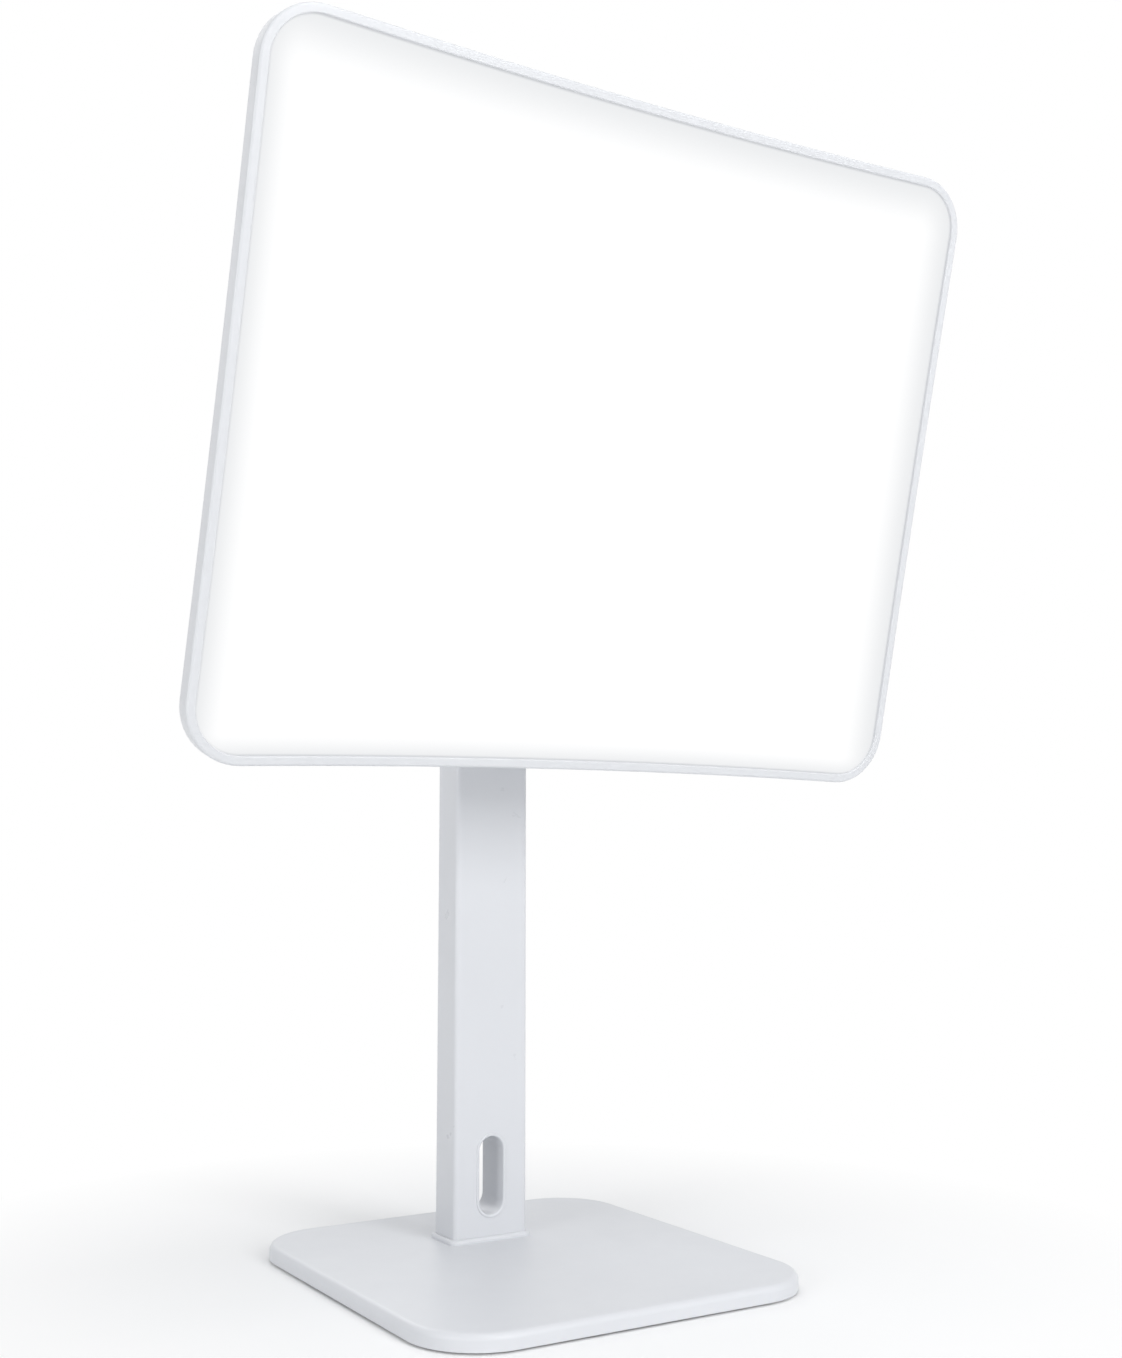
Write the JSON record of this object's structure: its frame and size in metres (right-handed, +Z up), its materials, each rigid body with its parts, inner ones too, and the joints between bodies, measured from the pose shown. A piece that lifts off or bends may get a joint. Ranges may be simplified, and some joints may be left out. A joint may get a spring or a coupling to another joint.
{
  "type": "light therapy lamp",
  "caption": "Desk light therapy lamp: broad flat lit panel on a tilting friction hinge and short swing arm, on a rectangular column with a cord slot and a square weighted base.",
  "frame": {"origin": "centre of the base's footprint, on the surface it stands on", "axes": "+X to the right seen from the front, -Y towards the front, +Z up"},
  "size_m": [0.3994, 0.2378, 0.5649],
  "materials": {
    "stand_paint": "satin pale grey-white powder coat",
    "shell_plastic": "fine satin, pale grey-white",
    "grip_rubber": "matt",
    "steel": "bare rolled plate",
    "screw_steel": "bright zinc",
    "cast_alloy": "cast, painted to match",
    "bearing_nylon": "natural nylon",
    "opal": "translucent opal, softly lit from behind",
    "acrylic": "clear",
    "white_film": "white film",
    "tray_alloy": "bare sheet",
    "circuit_board": "solder mask",
    "led_package": "yellow-white phosphor",
    "components": "black",
    "switch_plastic": "fine matt grey",
    "socket_plastic": "black",
    "contact_brass": "bright"
  },
  "bodies": {
    "stand": {"base_shell": "shell_plastic", "base_weight_plate": "steel", "base_bottom_cover": "socket_plastic", "base_grip_pad": "grip_rubber", "column": "stand_paint", "column_foot_block": "cast_alloy", "column_collar": "shell_plastic", "column_foot_screws": "screw_steel", "column_slot_liner": "shell_plastic", "column_fork": "cast_alloy", "column_fork_screws": "screw_steel", "shoulder_axle": "screw_steel", "shoulder_cap_left": "shell_plastic", "shoulder_cap_right": "shell_plastic", "shoulder_friction_washer_left": "bearing_nylon", "shoulder_friction_washer_right": "bearing_nylon", "shoulder_lock_nut": "screw_steel", "shoulder_spring_washers": "screw_steel"},
    "arm": {"arm": "cast_alloy", "arm_bush_head": "bearing_nylon", "arm_bush_shoulder": "bearing_nylon", "arm_cover": "shell_plastic"},
    "panel": {"button_board": "circuit_board", "button_switch": "components", "dc_inlet_pin": "contact_brass", "dc_inlet_socket": "socket_plastic", "driver_board": "circuit_board", "driver_components": "components", "driver_screws": "screw_steel", "head_axle": "screw_steel", "head_cap_left": "shell_plastic", "head_cap_right": "shell_plastic", "head_friction_washer_left": "bearing_nylon", "head_friction_washer_right": "bearing_nylon", "head_lock_nut": "screw_steel", "head_spring_washers": "screw_steel", "hinge_bracket": "cast_alloy", "hinge_bracket_screws": "screw_steel", "panel_back_cover": "shell_plastic", "panel_bezel": "shell_plastic", "panel_cover_screws": "screw_steel", "panel_diffuser": "opal", "panel_led_board_left": "circuit_board", "panel_led_board_right": "circuit_board", "panel_leds_left": "led_package", "panel_leds_right": "led_package", "panel_light_guide": "acrylic", "panel_reflector": "white_film", "panel_tray": "tray_alloy", "switch_housing": "socket_plastic"},
    "rocker": {"switch_rocker": "switch_plastic"},
    "button": {"brightness_button": "switch_plastic"}
  },
  "joints": [
    {"name": "arm_swing", "type": "hinge", "parent": "stand", "child": "arm", "pos_m": [0, 0.04525, 0.319], "axis": [1, 0, 0], "range_deg": [-40, 20]},
    {"name": "panel_tilt", "type": "hinge", "parent": "arm", "child": "panel", "pos_m": [0, -0.04771, 0.41395], "axis": [-1, 0, 0], "range_deg": [-10, 35]},
    {"name": "power_rocker", "type": "hinge", "parent": "panel", "child": "rocker", "pos_m": [-0.082, -0.07283, 0.4301], "axis": [-1, 0, 0], "range_deg": [0, 16]},
    {"name": "brightness_press", "type": "slide", "parent": "panel", "child": "button", "axis": [0, -0.9673, -0.2538], "range_m": [0, 0.0008], "stiffness_N_per_m": 1000, "springref_m": -0.0006}
  ]
}
